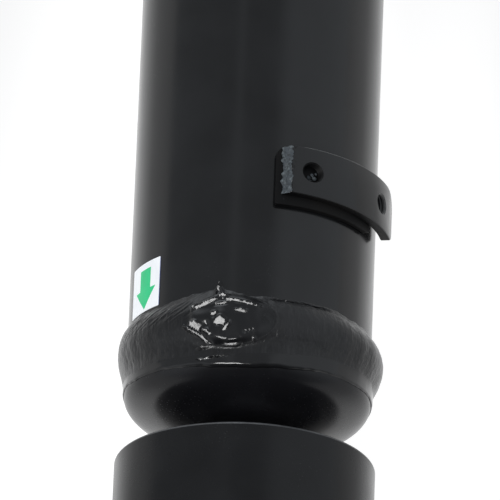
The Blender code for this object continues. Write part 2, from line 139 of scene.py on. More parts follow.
def eased(profile, ease):
    """The outline with sharp corners rounded by `ease`, and a faceted curve's as far as they reach."""
    closed = profile[0][0] > 0 or profile[-1][0] > 0
    made = []
    for index, corner in enumerate(profile):
        if not closed and index in (0, len(profile) - 1):
            made.append(corner)
            continue
        here = Vector(corner)
        back = Vector(profile[index - 1]) - here
        forth = Vector(profile[(index + 1) % len(profile)]) - here
        bend = degrees((-back).angle(forth))
        reach = min(back.length, forth.length) / 2
        support = bend > CURVE_BEND and reach > 1.5 * ease
        if bend > CURVE_BEND:
            reach = min(reach, ease)
        start = here + back.normalized() * reach
        end = here + forth.normalized() * reach
        if support:
            made.append(tuple(start + back.normalized() * ease * EASE_MARGIN))
        for step in range(EASE_STEPS + 1):
            t = step / EASE_STEPS
            made.append(tuple(start * (1 - t) ** 2 + here * 2 * t * (1 - t) + end * t ** 2))
        if support:
            made.append(tuple(end + forth.normalized() * ease * EASE_MARGIN))
    return made


def spread(first, last, count):
    """Evenly spaced values from first to last, both included."""
    return [first + (last - first) * step / (count - 1) for step in range(count)]


def smooth(value, low, high):
    """0 below low, 1 above high, and a soft step between them."""
    t = min(1.0, max(0.0, (value - low) / (high - low)))
    return t * t * (3 - 2 * t)


def hill(distance, width):
    """A soft bump: 1 at its middle, falling off within about twice its width."""
    return exp(-(distance / width) ** 2)


# --- meshes


def add_object(name, data):
    """A new object in the scene."""
    obj = bpy.data.objects.new(name, data)
    bpy.context.scene.collection.objects.link(obj)
    return obj


def shade(mesh):
    """Shades a mesh smooth between its corners."""
    mesh.shade_smooth()
    mesh.set_sharp_from_angle(angle=radians(SHARP_ANGLE))


def metre_mesh(name, bm):
    """A mesh in metres from a closed bmesh in millimetres."""
    bmesh.ops.recalc_face_normals(bm, faces=bm.faces)
    mesh = bpy.data.meshes.new(name)
    bm.to_mesh(mesh)
    bm.free()
    mesh.transform(Matrix.Scale(MM, 4))
    return mesh


def make_piece(name, bm, looks, nodes=(), body="barrel"):
    """Turns a bmesh in millimetres into a shown piece that rides on a body."""
    bmesh.ops.remove_doubles(bm, verts=bm.verts, dist=MERGE)
    bmesh.ops.dissolve_degenerate(bm, edges=bm.edges, dist=0.4 * MERGE)
    mesh = metre_mesh(name, bm)
    shade(mesh)
    for look in looks:
        mesh.materials.append(look)
    obj = add_object(name, mesh)
    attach(obj, body)
    if nodes:
        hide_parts(*nodes)
    return obj


def skin(bm, rows, around_closed, along_closed):
    """Quads between rows of points, where the rows follow each other round."""
    verts = [[bm.verts.new(point) for point in row] for row in rows]
    pairs = list(zip(verts, verts[1:]))
    if around_closed:
        pairs.append((verts[-1], verts[0]))
    faces = []
    for here, following in pairs:
        count = len(here) if along_closed else len(here) - 1
        for index in range(count):
            other = (index + 1) % len(here)
            faces.append(bm.faces.new((here[index], here[other], following[other], following[index])))
    return verts, faces


def turned(profile, sides=TURN, start=0.0, sweep=360.0):
    """A bmesh of (radius, y) points turned round the Y axis. A part turn has flat ends."""
    bm = bmesh.new()
    whole = sweep >= 360
    closed = profile[0][0] > 0 or profile[-1][0] > 0
    count = sides if whole else sides + 1
    azimuths = [start + sweep * step / sides for step in range(count)]
    rows = [[around(radius, y, azimuth) for radius, y in profile] for azimuth in azimuths]
    verts, _ = skin(bm, rows, whole, closed)
    if not whole:
        bm.faces.new(verts[0])
        bm.faces.new(verts[-1])
    return bm


def fine(node, look, slot, ease=0.5, sides=TURN, start=0.0, sweep=360.0):
    """A finely turned piece with eased edges, which stands for a faceted turned node."""
    profile = eased(outline(node, start), ease)
    bm = turned(profile, sides, start, sweep)
    return make_piece(node + "_fine", bm, [look], [node], frame["nodes"][node]["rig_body"])


def hexagon(corner_radius, angle):
    """The distance from a hexagon's middle to its side at this angle, in degrees."""
    from_flat = (angle + 30) % 60 - 30
    return corner_radius * cos(radians(30)) / cos(radians(from_flat))


def stud(profile, y, azimuth, sides=SMALL_TURN):
    """A bmesh turned round a radial axis.

    Its profile is (radius, height from the cylinder's axis), and True after them where it is six-sided.
    """
    bm = bmesh.new()
    rows = []
    for step in range(sides):
        angle = 360 * step / sides
        row = []
        for radius, height, *six_sided in profile:
            reach = hexagon(radius, angle + 30) if any(six_sided) else radius
            row.append(around(reach, height, angle))
        rows.append(row)
    skin(bm, rows, True, False)
    outward = Matrix.Rotation(radians(azimuth), 4, "Y") @ Matrix.Rotation(radians(90), 4, "X")
    bmesh.ops.transform(bm, verts=bm.verts, matrix=Matrix.Translation((0, y, 0)) @ outward)
    return bm


def carve(obj, bm):
    """Takes the bmesh's shape, in millimetres, out of a piece for good."""
    bmesh.ops.remove_doubles(bm, verts=bm.verts, dist=MERGE)
    cutter = add_object("cutter", metre_mesh("cutter", bm))
    modifier = obj.modifiers.new("carve", "BOOLEAN")
    modifier.object = cutter
    graph = bpy.context.evaluated_depsgraph_get()
    carved = bpy.data.meshes.new_from_object(obj.evaluated_get(graph), depsgraph=graph)
    obj.modifiers.clear()
    obj.data = carved
    shade(carved)
    bpy.data.objects.remove(cutter)


# --- material nodes


def feed(tree, node, values):
    """Sets a node's inputs, each to another node's output or to a fixed value."""
    for name, value in values.items():
        if isinstance(value, bpy.types.NodeSocket):
            tree.links.new(value, node.inputs[name])
        else:
            node.inputs[name].default_value = value


def add_node(tree, kind, values, **settings):
    """A shader node with its properties and inputs set."""
    node = tree.nodes.new("ShaderNode" + kind)
    for name, value in settings.items():
        setattr(node, name, value)
    feed(tree, node, values)
    return node


def new_look(name, roughness, metallic=0.0, **fixed):
    """A Principled material, with the values that are the same all over."""
    made = bpy.data.materials.new(name)
    made.use_nodes = True
    shader = made.node_tree.nodes["Principled BSDF"]
    feed(made.node_tree, shader, {"Roughness": roughness, "Metallic": metallic})
    feed(made.node_tree, shader, {socket.replace("_", " "): value for socket, value in fixed.items()})
    return made, made.node_tree, shader


def place(tree, stretch=(1, 1, 1)):
    """The point on the piece in metres, stretched along each axis."""
    where = add_node(tree, "TexCoord", {}).outputs["Object"]
    return add_node(tree, "Mapping", {"Vector": where, "Scale": stretch}).outputs["Vector"]


def turning_place(tree, stretch):
    """The distance from the cylinder's axis and the place along it."""
    length = add_node(tree, "VectorMath", {0: place(tree, (stretch, 0, stretch))}, operation="LENGTH")
    split = add_node(tree, "SeparateXYZ", {0: place(tree, (0, stretch, 0))})
    values = {"X": length.outputs["Value"], "Y": split.outputs["Y"]}
    return add_node(tree, "CombineXYZ", values).outputs[0]


def maths(tree, operation, first, second):
    """One sum. Its terms are numbers or sockets."""
    return add_node(tree, "Math", {0: first, 1: second}, operation=operation).outputs[0]


def speckle(tree, where, scale, detail=3.0):
    """Soft noise from 0 to 1."""
    return add_node(tree, "TexNoise", {"Vector": where, "Scale": scale, "Detail": detail}).outputs["Fac"]


def grains(tree, where, scale):
    """The distance to the nearest of scattered points."""
    return add_node(tree, "TexVoronoi", {"Vector": where, "Scale": scale}).outputs["Distance"]


def remap(tree, value, from_low, from_high, to_low=0.0, to_high=1.0):
    """Carries a value from one range to another, and keeps it inside."""
    values = {"Value": value, "From Min": from_low, "From Max": from_high, "To Min": to_low, "To Max": to_high}
    return add_node(tree, "MapRange", values).outputs["Result"]


def blend(tree, factor, *colours):
    """A mix of two colours, each a socket or an (r, g, b)."""
    first, second = ((*colour, 1.0) if isinstance(colour, tuple) else colour for colour in colours)
    return add_node(tree, "Mix", {"Factor": factor, 6: first, 7: second}, data_type="RGBA").outputs[2]


def cloudy(tree, clouds, dark, light):
    """Two colours mixed by soft noise."""
    return blend(tree, remap(tree, clouds, 0.35, 0.65), dark, light)


def dress(made, colour, finish, layers):
    """Sets a material's colour and roughness, and its bumps: (height from 0 to 1, depth in millimetres)."""
    tree = made.node_tree
    normal = {}
    for height, depth in layers:
        bump = add_node(tree, "Bump", {"Height": height, "Distance": depth * MM, **normal})
        normal = {"Normal": bump.outputs["Normal"]}
    feed(tree, tree.nodes["Principled BSDF"], {"Base Color": colour, "Roughness": finish, **normal})
    return made


# --- materials


def enamel(name, dark, light, roughness, peel, dust, grinding=0.0, gloss=0.5):
    """Black enamel: orange peel, a little settled dust, and any strokes of a grinder."""
    made, tree, _ = new_look(name, roughness, 0.0, Specular_IOR_Level=gloss)
    clouds = speckle(tree, place(tree), 35.0, 4.0)
    colour = cloudy(tree, clouds, dark, light)
    patches = remap(tree, speckle(tree, place(tree), 24.0, 2.0), 0.48, 0.68)
    specks = remap(tree, grains(tree, place(tree), 520.0), 0.10, 0.16, 1.0, 0.0)
    dusty = maths(tree, "MULTIPLY", maths(tree, "MULTIPLY", specks, patches), dust)
    colour = blend(tree, dusty, colour, (0.10, 0.10, 0.105))
    layers = [
        (speckle(tree, place(tree), 420.0, 2.0), peel),
        (speckle(tree, place(tree, (900, 14, 900)), 1.0, 2.0), peel * 0.25),
        (specks, 0.02 * dust),
    ]
    finish = maths(tree, "ADD", remap(tree, clouds, 0.3, 0.7, roughness - 0.04, roughness + 0.05), dusty)
    if grinding:
        strokes = speckle(tree, place(tree, (1500, 110, 1500)), 1.0, 4.0)
        broad = speckle(tree, place(tree, (330, 45, 330)), 1.0, 3.0)
        layers += [(strokes, 0.05 * grinding), (broad, 0.16 * grinding)]
        colour = blend(tree, remap(tree, strokes, 0.5, 0.75, 0.0, 0.5), colour, (0.03, 0.03, 0.032))
    return dress(made, colour, finish, layers)


def metal(name, dark, light, roughness, groove_depth, pitch):
    """Bare metal from the lathe: fine rings all round it, and slight stains."""
    made, tree, _ = new_look(name, roughness, 1.0)
    rings = speckle(tree, turning_place(tree, 1000 / pitch), 1.0, 2.0)
    clouds = speckle(tree, place(tree), 60.0, 4.0)
    stains = maths(tree, "MULTIPLY", maths(tree, "ADD", rings, clouds), 0.5)
    finish = remap(tree, stains, 0.3, 0.7, roughness * 0.8, roughness * 1.25)
    layers = [(rings, groove_depth), (clouds, 0.8 * groove_depth)]
    return dress(made, cloudy(tree, stains, dark, light), finish, layers)


def plain(name, dark, light, roughness, grain, depth, **fixed):
    """A cast or moulded surface with fine grain: rubber, plastic and film."""
    made, tree, _ = new_look(name, roughness, 0.0, **fixed)
    fine_grain = speckle(tree, place(tree), grain, 3.0)
    colour = cloudy(tree, speckle(tree, place(tree), 90.0, 3.0), dark, light)
    finish = remap(tree, fine_grain, 0.3, 0.7, roughness - 0.05, roughness + 0.08)
    return dress(made, colour, finish, [(fine_grain, depth)])


def make_cut_steel(name):
    """A torch-cut edge, half painted: rough grey scale with pale chips."""
    made, tree, _ = new_look(name, 0.6)
    scale = speckle(tree, place(tree), 900.0, 5.0)
    chips = remap(tree, speckle(tree, place(tree), 420.0, 3.0), 0.44, 0.56)
    grey = cloudy(tree, scale, (0.016, 0.019, 0.022), (0.12, 0.14, 0.152))
    colour = blend(tree, chips, grey, (0.05, 0.06, 0.07))
    return dress(made, colour, remap(tree, scale, 0.3, 0.7, 0.4, 0.75), [(scale, 0.25), (chips, 0.12)])


ENAMEL = enamel("black_enamel", (0.0045, 0.0045, 0.005), (0.007, 0.0072, 0.008), 0.19, 0.008, 0.1)
CUP_ENAMEL = enamel("cup_enamel", (0.0034, 0.0034, 0.004),
                    (0.0052, 0.0054, 0.0062), 0.26, 0.014, 0.12, gloss=0.35)
DISH_ENAMEL = enamel("dish_enamel", (0.0062, 0.0062, 0.0074),
                     (0.0095, 0.0095, 0.0112), 0.24, 0.012, 0.3, gloss=0.34)
TOE_ENAMEL = enamel("toe_enamel", (0.006, 0.006, 0.0065), (0.009, 0.009, 0.01), 0.15, 0.012, 0.1)
# A dull copy of the black enamel that stands in for shade: painted shade on the clamp plate's underside and
# first hole, the spacer strip and the base pin's neck.
PAINTED_SHADE_ENAMEL = enamel("painted_shade_enamel", (0.0045, 0.0045, 0.005),
                       (0.008, 0.0075, 0.0072), 0.5, 0.1, 0.1, gloss=0.12)
BEAD_ENAMEL = enamel("bead_enamel", (0.005, 0.005, 0.0055),
                     (0.011, 0.011, 0.012), 0.29, 0.015, 0.2, 2.0, 0.42)
LUMP_ENAMEL = enamel("lump_enamel", (0.004, 0.004, 0.0048),
                     (0.006, 0.006, 0.007), 0.22, 0.01, 0.05, gloss=0.46)
CHROME = metal("hard_chrome", (0.5, 0.51, 0.53), (0.66, 0.67, 0.69), 0.09, 0.0006, 0.5)
STEEL = metal("turned_steel", (0.3, 0.31, 0.33), (0.48, 0.49, 0.51), 0.3, 0.012, 0.35)
BRONZE = metal("bearing_bronze", (0.42, 0.26, 0.1), (0.6, 0.4, 0.19), 0.32, 0.01, 0.4)
ZINC = metal("zinc_plate", (0.5, 0.48, 0.38), (0.68, 0.67, 0.6), 0.28, 0.006, 0.5)
RUBBER = plain("nitrile_rubber", (0.01, 0.01, 0.01), (0.022, 0.022, 0.021), 0.62, 1800, 0.02)
NYLON = plain("guide_nylon", (0.5, 0.47, 0.38), (0.62, 0.6, 0.5), 0.48, 1200, 0.012)
# The film and the green print glow a little: painted light that makes them brighter than their lighting does.
FILM = plain("label_film", (0.8, 0.82, 0.84), (0.88, 0.89, 0.9), 0.38, 1500, 0.006,
             Emission_Color=(0.9, 0.94, 1.0, 1.0), Emission_Strength=0.2)
FILM_EDGE = plain("label_edge", (0.1, 0.13, 0.3), (0.16, 0.19, 0.36), 0.45, 1500, 0.006)
GREEN_PRINT = plain("green_print", (0.009, 0.5, 0.18), (0.014, 0.6, 0.23), 0.4, 1500, 0.006,
                    Emission_Color=(0.01, 0.56, 0.26, 1.0), Emission_Strength=0.19)
# A light grey that stands in for light: a painted highlight along the clamp plate's upper outer edge.
PAINTED_HIGHLIGHT_EDGE = plain("painted_highlight_edge", (0.1, 0.1, 0.1), (0.26, 0.26, 0.26), 0.45, 900, 0.05)
# A lighter paint that stands in for light: painted highlights on the cups' rounded rims.
PAINTED_HIGHLIGHT_RIM = plain("painted_highlight_rim", (0.02, 0.021, 0.023), (0.06, 0.062, 0.066), 0.32, 900, 0.02)
THREAD_STEEL = plain("thread_steel", (0.03, 0.03, 0.03), (0.08, 0.08, 0.08), 0.45, 900, 0.03)
CUT_STEEL = make_cut_steel("cut_steel")


# --- barrel, base cap and weld bead


BARREL_R, _, BARREL_TOP = size_of("barrel_tube")
BORE_R = min(radius for radius, _ in outline("barrel_tube"))
CAP_R = size_of("base_end_cap")[0]
CAP_EDGE = 108.0
CAP_DEPTH = 22.0
CAP_POWER = 2.08  # 2 would be an ellipse
CAP_WALL = 10.0
SPIGOT_WALL = 6.7
BEVEL_TOP = 138.5
ROOT_R = 55.0
ROOT_LOW, ROOT_HIGH = 126.2, 127.8
CAP_BEVEL_LOW = 113.0
GAP = 0.3

# The bead's section: y, and its radius on the left side and on the right side
BEAD_SECTION = (
    (104, 62.3, 62.35), (108, 62.3, 62.45), (111, 62.4, 62.7), (114, 62.6, 63.3), (117, 63.2, 64.5),
    (120, 64.1, 65.9), (123, 64.9, 66.85), (126, 65.42, 67.2), (129, 65.52, 67.0), (132, 65.2, 66.17),
    (134.5, 64.48, 65.0), (136.5, 63.5, 63.8), (138, 62.45, 62.55), (139.6, 61.1, 61.1),
)
BEAD_WAIST = 117.0
BEAD_CREST = 128.0

# How far the toes wander: (azimuth, y)
LOW_TOE = ((-180, 105.8), (-77, 107.3), (-63, 105.8), (-45, 105.2), (-36, 104.2), (-27, 103.5), (-22, 103.0),
           (-17, 101.9), (0, 101.7), (14, 102.7), (40, 105.2), (56, 105.6), (77, 106.6), (120, 106.2),
           (180, 105.8))
HIGH_TOE = ((-180, 139.6), (-85, 140.6), (-46, 139.5), (-35, 141.0), (-25, 142.3), (-17, 143.2), (-13, 143),
            (-5, 141.0), (-1, 139.4), (10, 139.8), (41, 140.0), (54, 138.8), (71, 138.7), (120, 139.4),
            (180, 139.6))
GROUND_MARGIN = ((-180, 5.0), (-60, 4.5), (-20, 5.5), (0, 7.0), (45, 7.5), (60, 8.0), (90, 5.5), (180, 5.0))

# The lump where the weld was started and stopped: its middle, half its size, and how far it fills out
LUMP_AZIMUTH = -9.8
LUMP_Y = 126.3
LUMP_HALF = (24.8, 13.8)
LUMP_R = 66.9
LUMP_FALL = 0.006
NIB_AZIMUTH = -15.0
NIB_RISE, NIB_WIDTH = 4.4, 1.7
FAN_ENDS, FAN_DEPTH = (-80, -14), 0.36
CRACK_ENDS, CRACK_DEPTH = (8, 40), 1.2


def make_barrel():
    """The barrel's tube, bevelled under the bead."""
    profile = [(BORE_R, ROOT_HIGH), (ROOT_R, ROOT_HIGH), (BARREL_R, BEVEL_TOP), (BARREL_R, BARREL_TOP),
               (BORE_R, BARREL_TOP)]
    make_piece("barrel_shell", turned(eased(profile, 0.6), FINE_TURN), [ENAMEL], ["barrel_tube"])


def make_base_cap():
    """The dished cap: nearly an ellipse outside and in, a short flange, and a spigot inside the barrel."""
    coarse = outline("base_end_cap")
    hole = min(radius for radius, _ in coarse)
    spigot_top = max(y for _, y in coarse)
    spigot_r = BORE_R - GAP
    inner_r = spigot_r - SPIGOT_WALL
    inside = dish(inner_r, CAP_DEPTH - CAP_WALL, CAP_EDGE + 1, hole, 24)
    profile = [*dish(CAP_R, CAP_DEPTH, CAP_EDGE, hole, 48), (CAP_R, CAP_BEVEL_LOW), (ROOT_R, ROOT_LOW),
               (spigot_r, ROOT_LOW), (spigot_r, spigot_top), (inner_r, spigot_top), *reversed(inside)]
    make_piece("base_cap_dish", turned(profile, FINE_TURN), [DISH_ENAMEL], ["base_end_cap"])


def dish(radius, depth, edge, hole, count):
    """A slightly full half ellipse from a hole's edge out to the rim."""
    share = 2 / CAP_POWER
    first = asin((hole / radius) ** (1 / share))
    return [(radius * sin(turn) ** share, edge - depth * cos(turn) ** share)
            for turn in spread(first, pi / 2, count)]


def rows_about(table, place):
    """The two rows of a table of (place, value...) that a place lies between."""
    for row, following in zip(table, table[1:]):
        if place <= following[0]:
            break
    return row, following


def trace(table, place):
    """A value read from a table of (place, value), eased between its rows."""
    row, following = rows_about(table, place)
    return row[1] + (following[1] - row[1]) * smooth(place, row[0], following[0])


def section_radius(azimuth, y):
    """The bead's radius before the lump and the small marks."""
    side = 0.5 + 0.5 * sin(radians(azimuth))
    total = 0.0
    for offset in (-1.2, -0.4, 0.4, 1.2):
        place = min(BEAD_SECTION[-1][0], max(BEAD_SECTION[0][0], y + offset))
        row, following = rows_about(BEAD_SECTION, place)
        share = (place - row[0]) / (following[0] - row[0])
        left, right = (row[column] + (following[column] - row[column]) * share for column in (1, 2))
        total += left + (right - left) * side
    return total / 4


def lump_place(azimuth, y):
    """Millimetres from the lump's middle, round the barrel and along it."""
    return radians(azimuth - LUMP_AZIMUTH) * LUMP_R, y - LUMP_Y


def lump_share(across, along):
    """0 at the lump's middle and 1 at its outline."""
    return hypot(across / LUMP_HALF[0], along / LUMP_HALF[1])


def ridge(across, along, start, end, width):
    """How near a place is to a straight ridge: 1 on it."""
    here, start, end = Vector((across, along)), Vector(start), Vector(end)
    run = end - start
    share = min(1.0, max(0.0, (here - start).dot(run) / run.length_squared))
    return hill((start + run * share - here).length, width)


# Ridges on the lump, from its middle: their ends, width and height
LUMP_RIDGES = (
    ((-14.0, 9.6), (-7.6, 12.6), 0.9, 0.55),
    ((0.8, -11.6), (4.6, -11.4), 1.1, 0.6),
)
# Swellings and hollows, from its middle: across, along, width and height
LUMP_BLOBS = (
    (-16.4, 0.4, 3.4, 0.9), (-4.4, 1.2, 3.6, 1.0), (-10.6, -3.4, 1.8, -0.9), (-7.6, 1.0, 1.2, -0.6),
    (-2.2, -4.6, 0.9, -0.5), (8.6, -7.4, 0.8, -0.7), (10.6, -7.0, 0.7, -0.6), (12.4, -6.6, 0.7, -0.6),
    (13.8, -10.4, 0.9, 0.5), (14.6, 5.6, 0.8, 0.4),
)
# Flat places that lean the same way: azimuth, y, half length, half width, the long side's angle and height
LUMP_LEAN = (-0.160, -0.401, 0.902)
LUMP_FACETS = (
    (-24.2, 122.6, 4.0, 2.7, -25, 0.2),
    (-19.2, 119.3, 2.6, 1.0, -28, 0.3),
    (-13.3, 124.4, 3.2, 2.5, 25, 0.4),
    (-15.8, 128.4, 1.6, 1.0, 0, 0.3),
    (-10.4, 121.4, 2.6, 0.8, 50, 0.2),
    (-24.2, 133.0, 2.2, 1.3, 15, 0.3),
    (-18.4, 135.2, 7.2, 0.85, 22, 0.4),
    (-12.4, 138.0, 2.4, 1.2, 6, 0.6),
    (-13.0, 133.7, 3.8, 0.8, 6, 0.1),
    (-4.4, 134.6, 7.2, 0.7, -12, 0.3),
    (-4.6, 129.8, 3.0, 0.9, -2, 0.2),
    (-23.2, 118.4, 7.2, 0.90, -33, -0.3),
    (-8.2, 112.8, 3.8, 0.80, 2, -1.9),
    (-20.8, 112.4, 2.8, 0.6, 4, -2.1),
    (-21.4, 106.4, 5.4, 0.24, 4, -1.85),
    (-15.3, 144.0, 2.6, 0.8, 80, -2.3),
    (-14.6, 146.4, 1.2, 1.0, 0, -2.3),
)


def facet_share(length_way, width_way, half_length, half_width):
    """1 on a facet, falling to 0 past its ragged edge."""
    far = hypot(length_way / half_length, width_way / half_width)
    ragged = 0.25 * noise(Vector((length_way, width_way, half_length)) / 1.5)
    return 1 - smooth(far + ragged, 0.75, 1.15 + 0.5 / half_width)


def lump_facets(azimuth, y, radius):
    """The radius with the leaning flat places worked in."""
    lean = Vector(LUMP_LEAN)
    here = around(1, 0, azimuth)
    for centre, centre_y, half_length, half_width, angle, rise in LUMP_FACETS:
        across = radians(azimuth - centre) * LUMP_R
        along = y - centre_y
        turn = radians(angle)
        length_way = across * cos(turn) + along * sin(turn)
        width_way = along * cos(turn) - across * sin(turn)
        share = facet_share(length_way, width_way, half_length, half_width)
        if share > 0:
            middle = around(LUMP_R + rise - LUMP_FALL * (centre_y - LUMP_Y) ** 2, centre_y, centre)
            flat = (lean.dot(middle) - lean.y * y) / lean.dot(here)
            flat += 0.10 * noise(Vector((across, along, centre)) / 2.2)
            radius += (flat - radius) * share
    return radius


def lump_radius(azimuth, y, under):
    """The radius over the lump, which fills the bead's crown out and carries molten marks."""
    across, along = lump_place(azimuth, y)
    share = lump_share(across, along)
    if share > 1.6:
        return under
    inside = 1 - smooth(share, 0.72, 1.04 if along > 0 else 1.16)
    filled = LUMP_R - LUMP_FALL * (1.8 if along < 0 else 1.0) * along ** 2 - 0.0016 * across ** 2
    height = under + max(0.0, filled - under) * inside
    height += 0.18 * hill(share - 1.0, 0.018) * smooth(across, 2.0, 12.0)
    height += 0.35 * inside * noise(Vector((across, along, 3.0)) / 6.0)
    for start, end, width, rise in LUMP_RIDGES:
        height += rise * ridge(across, along, start, end, width)
    for blob_across, blob_along, width, rise in LUMP_BLOBS:
        height += rise * hill(hypot(across - blob_across, along - blob_along), width)
    return lump_facets(azimuth, y, height)


def bead_edges(azimuth):
    """The y of the bead's lower and upper toe, which wander a little."""
    low = trace(LOW_TOE, azimuth) + 0.25 * noise(around(14.0, 2.0, azimuth))
    high = trace(HIGH_TOE, azimuth) + 0.45 * noise(around(16.0, 5.0, azimuth))
    return low, high + NIB_RISE * hill(azimuth - NIB_AZIMUTH, NIB_WIDTH)


def under_bead(y):
    """The radius of what the bead lies on: the barrel or the cap."""
    if y > BEAD_WAIST:
        return BARREL_R
    return CAP_R * (1 - max(0.0, (CAP_EDGE - y) / CAP_DEPTH) ** CAP_POWER) ** (1 / CAP_POWER)


def between(azimuth, ends, rise, fall):
    """1 between two azimuths, fading out inwards of them over these angles."""
    first, last = ends
    return smooth(azimuth, first, first + rise) * (1 - smooth(azimuth, last - fall, last))


def fan_height(azimuth, y):
    """The fan of coarse grinding strokes on the left of the lump."""
    across, along = lump_place(azimuth, y)
    strokes = noise(Vector((0.88 * across + 0.48 * along, 9 * (0.88 * along - 0.48 * across), 2.0)) / 9.0)
    return FAN_DEPTH * strokes * between(azimuth, FAN_ENDS, 20, 8) * smooth(y, 126, 132)


def bead_point(azimuth, share):
    """A point of the bead's crown: share 0 is at its lower toe, and 1 at its upper one."""
    low, high = bead_edges(azimuth)
    y = low + (high - low) * (0.4 * share + 0.3 * (1 - cos(pi * share)))
    standard = y
    if y < BEAD_WAIST:
        standard = BEAD_WAIST - (BEAD_WAIST - y) * (BEAD_WAIST - BEAD_SECTION[0][0]) / (BEAD_WAIST - low)
    if y > BEAD_CREST:
        standard = BEAD_CREST + (y - BEAD_CREST) * (BEAD_SECTION[-1][0] - BEAD_CREST) / (high - BEAD_CREST)
    radius = section_radius(azimuth, standard)
    where = around(radius, y, azimuth)
    margin = low + trace(GROUND_MARGIN, azimuth)
    ground = smooth(y, margin - 1.0, margin + 1.0) * (1 - smooth(y, high - 2.5, high - 0.5))
    flats = 0.26 * noise(Vector((where.x / 9, y / 30, where.z / 9)))
    grain = 0.10 * noise(where / 2.6) + 0.05 * noise(where / 1.1)
    radius += fan_height(azimuth, y) * (1 - smooth(y, high - 0.8, high))
    radius += (flats + grain) * ground + 0.10 * noise(where / 7.0) * (1 - ground)
    front = hill(azimuth - 2, 42)
    radius += 0.45 * front * (1 - smooth(standard, 108, 114))
    bulge = 1.4 + 1.4 * front
    into = max(0.0, 1.0 + 1.7 * front - (y - low))
    radius -= bulge - sqrt(bulge ** 2 - into ** 2)
    radius = lump_radius(azimuth, y, radius) if y > low + 2.5 else radius
    crack = between(azimuth, CRACK_ENDS, 3, 4) * hill(y - high + 1.6 - 0.4 * noise(where / 1.6), 0.5)
    return max(radius - CRACK_DEPTH * crack, under_bead(y) + 0.05), y


def bead_azimuths():
    """Azimuths round the bead, close together over the lump and the crack."""
    close, wide = 0.25, 0.75
    made = [-180.0]
    while made[-1] + wide < 180:
        made.append(made[-1] + (close if -80 <= made[-1] < 42 else wide))
    return made


def bead_look(azimuth, y):
    """Which look the bead has here: 0 ground, 1 the glossy lump, or 2 the smooth toe."""
    if lump_share(*lump_place(azimuth, y)) < 0.98:
        return 1
    low, high = bead_edges(azimuth)
    if abs(azimuth - NIB_AZIMUTH) < 2 and y > 140:
        return 1
    return 2 if y < low + trace(GROUND_MARGIN, azimuth) else 0


def make_weld_bead():
    """The ground bead with its wandering toes, its lump and the crack above it."""
    shares = spread(0.0, 1.0, 100)
    root = [(BARREL_R + GAP, BEVEL_TOP), (ROOT_R + GAP, ROOT_HIGH), (ROOT_R + GAP, ROOT_LOW),
            (CAP_R + 0.1, CAP_BEVEL_LOW)]
    rows = []
    for azimuth in bead_azimuths():
        crown = [bead_point(azimuth, share) for share in shares]
        rows.append([around(radius, y, azimuth) for radius, y in crown + root])
    bm = bmesh.new()
    _, faces = skin(bm, rows, True, True)
    for face in faces:
        middle = face.calc_center_median()
        face.material_index = bead_look(degrees(atan2(middle.x, middle.z)), middle.y)
    looks = [BEAD_ENAMEL, LUMP_ENAMEL, TOE_ENAMEL]
    make_piece("weld_bead_crown", bm, looks, ["base_weld_bead"])


# --- bracket, spacer and label


BRACKET_R = size_of("clamp_bracket")[0]
BRACKET_THICK = 5.0
BRACKET_Y = span("clamp_bracket")
BRACKET_AZIMUTHS = (14.5, 83.0)
BRACKET_HOLES = (24.0, 66.2)
BRACKET_CORNERS = (0.6, 4.5, 11.0, 0.8)
BRACKET_SLANT = 3.8  # how far its rough end leans back
BRACKET_FALL = 0.022  # how far it falls for each degree round the barrel
BRACKET_ROUGH_END = 5.0
BEND_STEP = 1.5
THREAD_PITCH = 1.5
THREAD_CREST = 4.7
THREAD_ROOT = 5.35
SPACER_AZIMUTHS = (8.6, 63.8)
# Small beads: azimuth, y and radius
SPATTER = ((12.6, 191.6, 0.8), (13.4, 192.6, 0.6), (12.2, 193.8, 0.7), (14.2, 192, 0.7), (15.2, 192.6, 0.6),
           (12, 190.2, 0.5), (16.4, 192.9, 0.5), (11.6, 192.6, 0.6), (12.4, 196, 0.5), (11.9, 198.2, 0.5))
CHIPS = ((23.8, 205.0, 1.3), (25.4, 206.8, 1.2), (26.6, 205.2, 1.5), (27.4, 207.8, 1.0), (24.6, 203.4, 1.1))


def rounded_sheet(length, low, high, corners, steps=6):
    """A flat outline from x 0 to length. Its corners' radii are: low start, low end, high end, high start."""
    places = ((0, low, 1, 1), (length, low, -1, 1), (length, high, -1, -1), (0, high, 1, -1))
    made = []
    for index, ((x, y, inward_x, inward_y), radius) in enumerate(zip(places, corners)):
        centre = Vector((x + inward_x * radius, y + inward_y * radius))
        for angle in spread(180 + 90 * index, 270 + 90 * index, steps):
            turn = radians(angle)
            made.append(centre + Vector((cos(turn), sin(turn))) * radius)
    return made


def plate(points, thick, edge_round):
    """A flat plate from an outline, z from 0 to thick, with rounded edges."""
    bm = bmesh.new()
    base = bm.faces.new([bm.verts.new((x, y, 0)) for x, y in points])
    lifted = bmesh.ops.extrude_face_region(bm, geom=[base])["geom"]
    top = [item for item in lifted if isinstance(item, bmesh.types.BMVert)]
    bmesh.ops.translate(bm, verts=top, vec=(0, 0, thick))
    bmesh.ops.remove_doubles(bm, verts=bm.verts, dist=MERGE)
    bmesh.ops.recalc_face_normals(bm, faces=bm.faces)
    rim = [edge for edge in bm.edges if abs(edge.verts[0].co.z - edge.verts[1].co.z) < 1e-6]
    bmesh.ops.bevel(bm, geom=rim, offset=edge_round, segments=3, profile=0.5, affect="EDGES")
    return bm


def steps(first, last, step):
    """Places between first and last, a step apart."""
    return [first + step * index for index in range(1, int((last - first) / step))]


